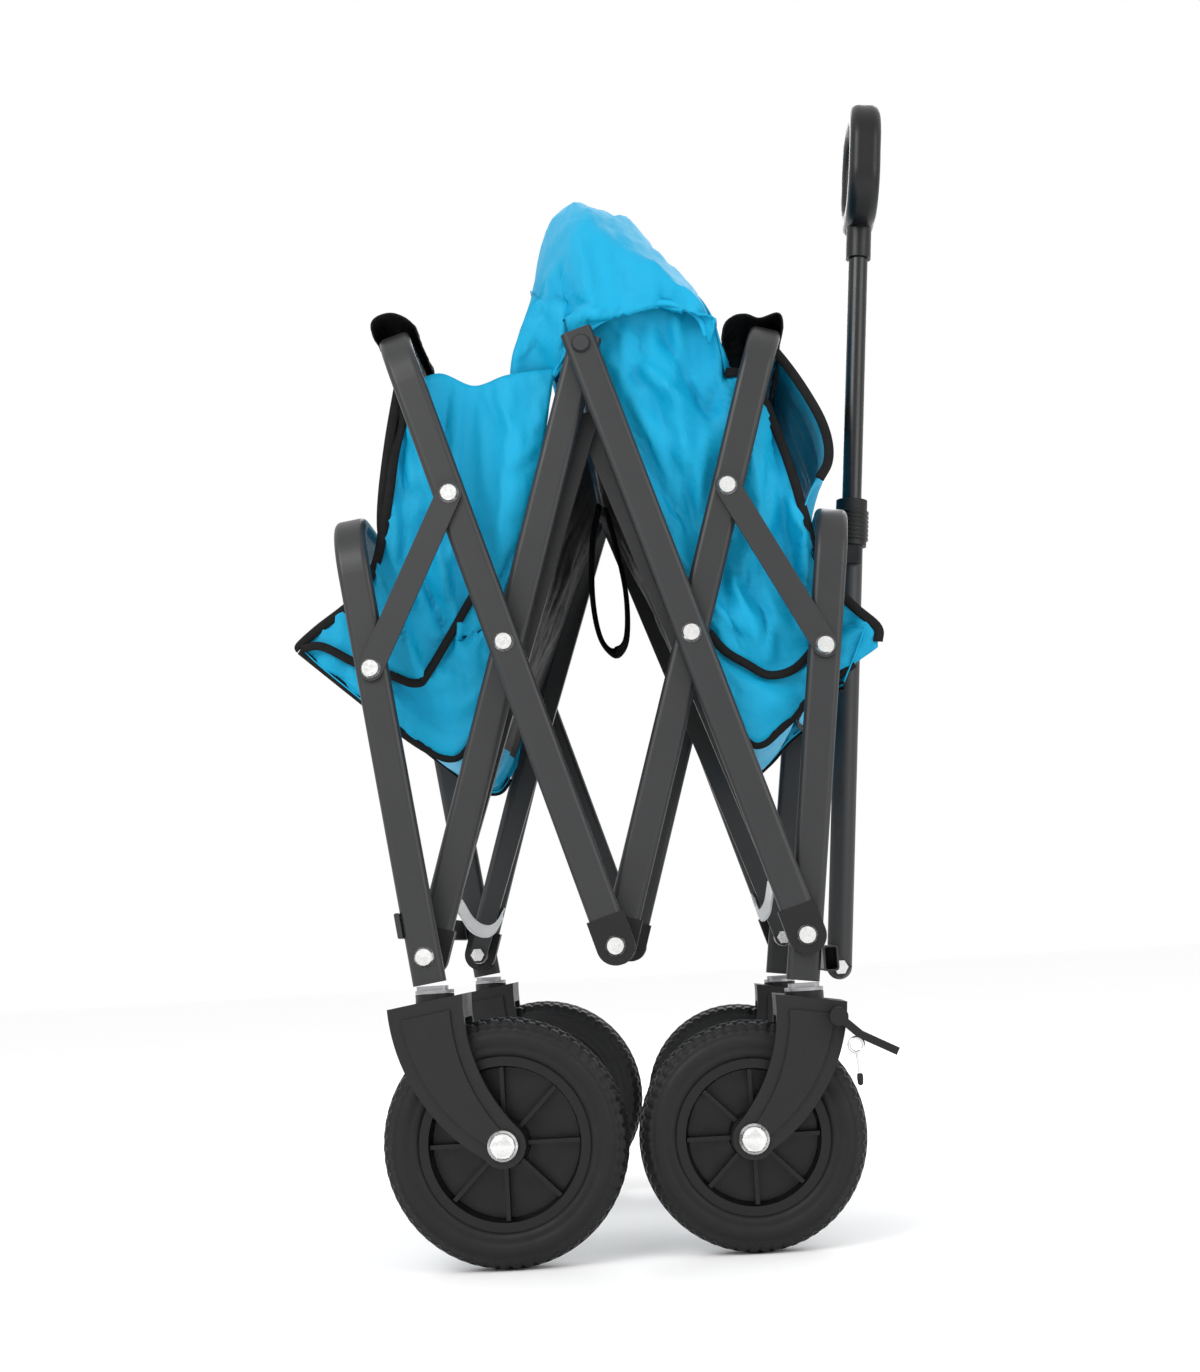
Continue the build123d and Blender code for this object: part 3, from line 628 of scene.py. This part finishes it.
def floor_halves():
    """The floor, drawn up to a ridge in the middle: turquoise below, and painted black near the ridge as painted
    shade.
    """
    for end, way, profile in (
        ("rear", -1, [(188, 440), (152, 410), (118, 400), (92, 446), (58, 524), (28, 598), (3, 648)]),
        ("front", 1, [(166, 434), (142, 402), (116, 394), (90, 444), (58, 524), (28, 598), (3, 648)]),
    ):
        rows = [[Vector((way * x, 150 * k / 4, z)) * MM for k in range(-4, 5)] for x, z in profile]
        grid = grid_through(rows, 56, 48)
        ripple(grid, 7.0, 20, 2.0 + way, direction=(way, 0, 0.3), stretch=(0.5, 1, 0.5))
        # Rows near the ridge take the black cloth: painted shade.
        piece = sheet_object(f"{end}_floor", grid, CLOTH, 0.0016, SHADE_BLACK_CLOTH, 0.42)
        start = pivot(f"{end}_floor_pivot") + Vector((0, 0, 0.20))
        declare(piece, None, ["floor_cloth"],
                blend=(f"{end}_frame", f"{end}_floor", start, start + Vector((-way * 0.09, 0, 0.14))))


floor_halves()

# Hood, (x, z) in millimetres: near hem, over both shoulders and the peak, to the far hem
hood_hem = [(-64, 698), (-36, 700), (-9, 722), (16, 742), (46, 751), (72, 753), (96, 740), (104, 716)]
hood_face = [(-58, 730), (-30, 746), (-8, 762), (20, 778), (50, 786), (76, 781), (99, 762), (108, 726)]
hood_shoulder = [(-42, 776), (-24, 812), (-4, 832), (22, 832), (52, 812), (80, 788), (102, 768), (111, 738)]
hood_slope = [(-44, 800), (-29, 858), (-6, 886), (24, 882), (54, 858), (84, 824), (104, 788), (112, 750)]
hood_peak = [(-46, 820), (-33, 888), (-8, 912), (24, 906), (56, 876), (88, 834), (107, 792), (112, 752)]
hood_rows = [
    (hood_hem, 199), (hood_face, 207), (hood_shoulder, 196), (hood_slope, 120), (hood_peak, 30),
]


TUCK_FROM_X, TUCK_LENGTH, TUCK_DEPTH, FACES_BEYOND_Y = -8, 24, 36, 150


def hood_depth(x, y):
    """Distance from the middle plane: the rear strip of the faces runs in behind the rear panel."""
    tucked = min(1, max(0, (TUCK_FROM_X - x) / TUCK_LENGTH))
    return y - TUCK_DEPTH * tucked if y > FACES_BEYOND_Y else y


def hood():
    """The slack cloth that stands up over the top pivot as one continuous sheet."""
    rows = [[Vector((x, side * hood_depth(x, y), z)) * MM for x, z in row]
            for side, order in ((-1, hood_rows), (1, hood_rows[::-1])) for row, y in order]
    across, down = 52, 88
    grid = grid_through(rows, across, down)
    folds = [
        ((-17, 800), (-8, 716), -14, 9), ((-30, 800), (-42, 720), 5, 12), ((6, 824), (4, 742), 9, 12),
        ((34, 822), (30, 744), -5, 11), ((62, 806), (60, 750), 5, 12), ((90, 780), (88, 742), 6, 11),
    ]
    for side in (-1, 1):
        face = [[p for p in row if p.y * side > 0.170] for row in grid]
        crease(face, folds, side)
    ripple(grid, 12.0, 15, 21.0, direction=(0.35, 0.1, 0.9), stretch=(1.5, 0.6, 0.9))
    piece = sheet_object("hood", grid, CLOTH)
    settle(piece, across, down, slack=0.03)
    grid = read_back(piece, across)
    start, stop = Vector((-0.3, 0, 0.8)), Vector((0.3, 0, 0.8))
    for word, row, side in (("near", grid[0], -1), ("far", grid[-1], 1)):
        hem = band(f"hood_hem_{word}", [p + Vector((0, side * 1.5 * MM, 0)) for p in row][::5],
                   0.005, (0, side, 0), CLOTH)
        declare(hem, None,
                blend=("rear_scissor", "front_scissor", start, stop))
    declare(piece, None, ["hood_cloth"],
            blend=("rear_scissor", "front_scissor", start, stop))


hood()


CORNER_SPACE, COVER_FLARE, COVER_SWELL = 0.030, 0.04, 0.07


def bow_cover(end, body, outline):
    """Loose black cover gathered over a bow's rail, from just inside one corner to the other."""
    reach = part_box(f"{end}_bow_frame")[1].y - CORNER_SPACE
    across, along = 46, 72
    profile = curve_through([Vector((x, 0, z)) * MM for x, z in outline], across)
    middle = sum(profile, Vector()) / len(profile)
    grid = []
    for j in range(along + 1):
        share = 2 * j / along - 1
        flare = 1 + COVER_FLARE * abs(share) ** 6
        row = []
        for i, p in enumerate(profile):
            swell = noise.fractal(Vector((i * 0.11, j * 0.33, len(end))), 1.0, 2.0, 3)
            out = (p - middle) * (flare - 1 + COVER_SWELL * swell)
            row.append(Vector((p.x + out.x, share * reach, p.z + out.z)))
        grid.append(row)
    piece = sheet_object(f"{end}_bow_cover", grid, BINDING)
    declare(piece, body)


bow_cover("rear", "rear_bow", [
    (-170, 744), (-172, 753), (-167, 760), (-158, 763), (-147, 760), (-138, 752), (-136, 746)])
bow_cover("front", "front_bow", [
    (119, 716), (117, 733), (122, 746), (136, 750), (148, 746), (163, 749), (166, 738), (160, 718),
    (158, 694)])


# Line of the tie bands: share of the way from the middle to a bar, x and z in metres
TIE_LINE = [(-1, 0.124, 0.276), (-0.55, 0.124, 0.262), (0, 0.123, 0.257), (0.55, 0.124, 0.262),
            (1, 0.124, 0.276)]
TUBE_THICK = 0.0125


def cross_bands():
    """Light tie bands that hang between the two bars of each lower scissor."""
    for end, way, body in (("rear", -1, "rear_scissor"), ("front", 1, "front_scissor")):
        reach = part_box(f"{end}_scissor_bars")[1].y - TUBE_THICK
        points = [Vector((way * x, reach * share, z)) for share, x, z in TIE_LINE]
        piece = band(f"{end}_tie_band", points, 0.011, (way, 0, 0.3), STRAP)
        declare(piece, body)


cross_bands()


def pull_loop():
    """Narrow webbing loop for lifting the folded floor, hanging from the floor's ridge."""
    low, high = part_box("pull_strap")
    middle = (low.x + high.x) / 2
    points = [Vector((x, y, z)) for x, y, z in (
        (middle - 0.002, -0.006, high.z), (middle - 0.010, -0.008, 0.600), (middle - 0.013, -0.010, 0.550),
        (middle - 0.008, -0.010, 0.512), (middle + 0.004, -0.008, 0.498), (middle + 0.015, -0.004, 0.510),
        (middle + 0.017, 0.002, 0.552), (middle + 0.010, 0.006, 0.600), (middle + 0.003, 0.006, high.z))]
    piece = band("pull_loop", points, 0.011, (1, -0.30, 0), BINDING)
    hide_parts("pull_strap")
    declare(piece, "rear_floor")


pull_loop()


# Wheels ------------------------------------------------------------------------------------

BLOCKS, STEPS_PER_BLOCK = 60, 6
LANE_EDGES = (-0.438, -0.146, 0.146, 0.438)


def tyre(end, word):
    """Rounded tyre with staggered tread blocks, a shoulder groove and a moulded sidewall ring."""
    low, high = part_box(f"{end}_{word}_wheel_tyre")
    centre, radius, half = (low + high) / 2, (high.z - low.z) / 2, (high.y - low.y) / 2
    bead = radius - 0.029
    side_profile = [
        (bead, half - 0.003), (bead + 0.0025, half - 0.0012), (bead + 0.0055, half - 0.0004),
        (bead + 0.0075, half - 0.0014), (bead + 0.0090, half - 0.0003), (bead + 0.0130, half),
        (bead + 0.0170, half - 0.0004), (bead + 0.0180, half - 0.0016), (bead + 0.0192, half - 0.0010),
        (bead + 0.0222, half - 0.0030), (bead + 0.0246, half - 0.0056),
    ]
    crown = [(radius - 0.0030 + 0.0030 * (1 - share**2), half * 0.72 * share)
             for share in [k / 10 for k in range(10, -11, -1)]]
    profile = side_profile + crown + [(r, -y) for r, y in reversed(side_profile)]
    bm = bmesh.new()
    steps = BLOCKS * STEPS_PER_BLOCK
    rings = []
    for s in range(steps):
        angle = 2 * pi * s / steps
        ring = []
        for r, y in profile:
            share = y / half
            if abs(share) <= 0.73:
                lane = int((share + 0.73) / 1.46 * 4.999)
                phase = (s + (STEPS_PER_BLOCK // 2) * (lane % 2)) % STEPS_PER_BLOCK
                groove = phase in (0, 1) or min(abs(share - lane_edge) for lane_edge in LANE_EDGES) < 0.045
                r -= 0.0017 if groove else 0.0
            elif abs(share) <= 0.90 and r > bead + 0.020:
                r -= 0.0012 * (s % STEPS_PER_BLOCK in (0, 1))
            ring.append(bm.verts.new((centre.x + r * sin(angle), centre.y + y, centre.z + r * cos(angle))))
        rings.append(ring)
    for s in range(steps):
        ahead = rings[(s + 1) % steps]
        for k in range(len(profile)):
            following = (k + 1) % len(profile)
            face = bm.faces.new((rings[s][k], ahead[k], ahead[following], rings[s][following]))
            face.smooth = True
    bmesh.ops.recalc_face_normals(bm, faces=bm.faces)
    mesh = bpy.data.meshes.new(f"{end}_{word}_tyre")
    bm.to_mesh(mesh)
    bm.free()
    mesh.materials.append(TYRE)
    piece = bpy.data.objects.new(f"{end}_{word}_tyre", mesh)
    bpy.context.collection.objects.link(piece)
    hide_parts(f"{end}_{word}_wheel_tyre")
    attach(piece, f"{end}_{word}_wheel")


for end in ("rear", "front"):
    for word, side in SIDES:
        tyre(end, word)


# Small fittings ----------------------------------------------------------------------------


def lathe(name, profile, place, axis, material, steps=40):
    """Turned piece: profile is (radius, height along the axis) in millimetres."""
    bm = bmesh.new()
    rings = [[bm.verts.new((r * MM * cos(2 * pi * s / steps), r * MM * sin(2 * pi * s / steps), h * MM))
              for s in range(steps)] for r, h in profile]
    for below, above in zip(rings, rings[1:]):
        for s in range(steps):
            bm.faces.new((below[s], below[(s + 1) % steps], above[(s + 1) % steps], above[s])).smooth = True
    bm.faces.new(list(reversed(rings[0])))
    bm.faces.new(rings[-1])
    mesh = bpy.data.meshes.new(name)
    bm.to_mesh(mesh)
    bm.free()
    mesh.materials.append(material)
    piece = bpy.data.objects.new(name, mesh)
    piece.matrix_world = Matrix.Translation(place) @ Vector(axis).to_track_quat("Z", "Y").to_matrix().to_4x4()
    bpy.context.collection.objects.link(piece)
    return piece


def tube_along(name, points, radius, material, closed=False):
    """Round wire along a smooth line, as a mesh."""
    data = bpy.data.curves.new(name, "CURVE")
    data.dimensions, data.bevel_depth, data.bevel_resolution = "3D", radius, 5
    data.use_fill_caps = True
    spline = data.splines.new("POLY")
    line = curve_through(points, 8 * len(points)) if not closed else [Vector(p) for p in points]
    spline.points.add(len(line) - 1)
    for target, p in zip(spline.points, line):
        target.co = (*p, 1)
    spline.use_cyclic_u = closed
    source = bpy.data.objects.new(name + "_line", data)
    bpy.context.collection.objects.link(source)
    depsgraph = bpy.context.evaluated_depsgraph_get()
    mesh = bpy.data.meshes.new_from_object(source.evaluated_get(depsgraph), depsgraph=depsgraph)
    bpy.data.objects.remove(source)
    mesh.materials.clear()
    mesh.materials.append(material)
    piece = bpy.data.objects.new(name, mesh)
    bpy.context.collection.objects.link(piece)
    piece.data.polygons.foreach_set("use_smooth", [True] * len(mesh.polygons))
    return piece


def axle_heads():
    """Domed bolt heads on washers, over the ends of the axles."""
    dome = [(11.5, 0), (11.5, 1.0), (9.8, 1.2), (9.8, 2.4), (9.0, 3.9), (6.4, 5.0), (2.8, 5.5), (0.4, 5.6)]
    for end, word, side in ((end, word, side) for end in ("rear", "front") for word, side in SIDES):
        low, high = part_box(f"{end}_{word}_fork")
        rim_low, rim_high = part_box(f"{end}_{word}_wheel_rim")
        centre = (rim_low + rim_high) / 2
        for facing, y in ((-1, low.y), (1, high.y)):
            piece = lathe(f"{end}_{word}_bolt_{'near' if facing < 0 else 'far'}_head", dome,
                          (centre.x, y, centre.z), (0, facing, 0), PLATED if facing == side else CAPS)
            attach(piece, "rear_frame" if end == "rear" else f"front_{word}_caster")


axle_heads()


RING_X, RING_Z, RING_RADIUS, RING_STEPS = 0.177, 0.153, 0.0055, 28


def brake_fittings():
    """Spring ring, wire and tip that hang at each foot brake."""
    for word, side in SIDES:
        low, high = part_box(f"{word}_brake_pedal")
        y = (low.y + high.y) / 2 + side * 0.002
        turns = [2 * pi * k / RING_STEPS for k in range(RING_STEPS)]
        ring = [Vector((RING_X + RING_RADIUS * cos(turn), y, RING_Z + RING_RADIUS * sin(turn)))
                for turn in turns]
        parts = [
            tube_along(f"{word}_brake_ring", ring, 0.0012, PLATED, closed=True),
            tube_along(f"{word}_brake_wire", [(0.177, y, 0.1475), (0.1772, y, 0.142), (0.1778, y, 0.136),
                                              (0.178, y, 0.130)], 0.0009, PLATED),
            lathe(f"{word}_brake_tip", [(1.2, 0), (2.2, 0.6), (2.4, 4), (2.0, 8), (0.8, 9)],
                  (0.178, y, 0.132), (0, 0, -1), CAPS),
        ]
        for piece in parts:
            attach(piece, f"{word}_brake")


brake_fittings()


HANDLE_LEAN = 5.8
RIB_LOW, RIB_HIGH, RIB_PITCH, RIB_COUNT = 14.6, 15.6, 4.0, 7


def collar_ribs():
    """Ribs round the collar of the handle."""
    low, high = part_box("handle_collar")
    centre = (low + high) / 2
    axis = Vector((sin(radians(HANDLE_LEAN)), 0, cos(radians(HANDLE_LEAN))))
    profile = []
    for k in range(RIB_COUNT):
        foot = k * RIB_PITCH
        profile += [(RIB_LOW, foot), (RIB_HIGH, foot + 0.5), (RIB_HIGH, foot + 2.4), (RIB_LOW, foot + 2.9)]
    piece = lathe("handle_collar_ribs", profile, centre - axis * 0.016, axis, RIM, 48)
    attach(piece, "handle_base")


collar_ribs()
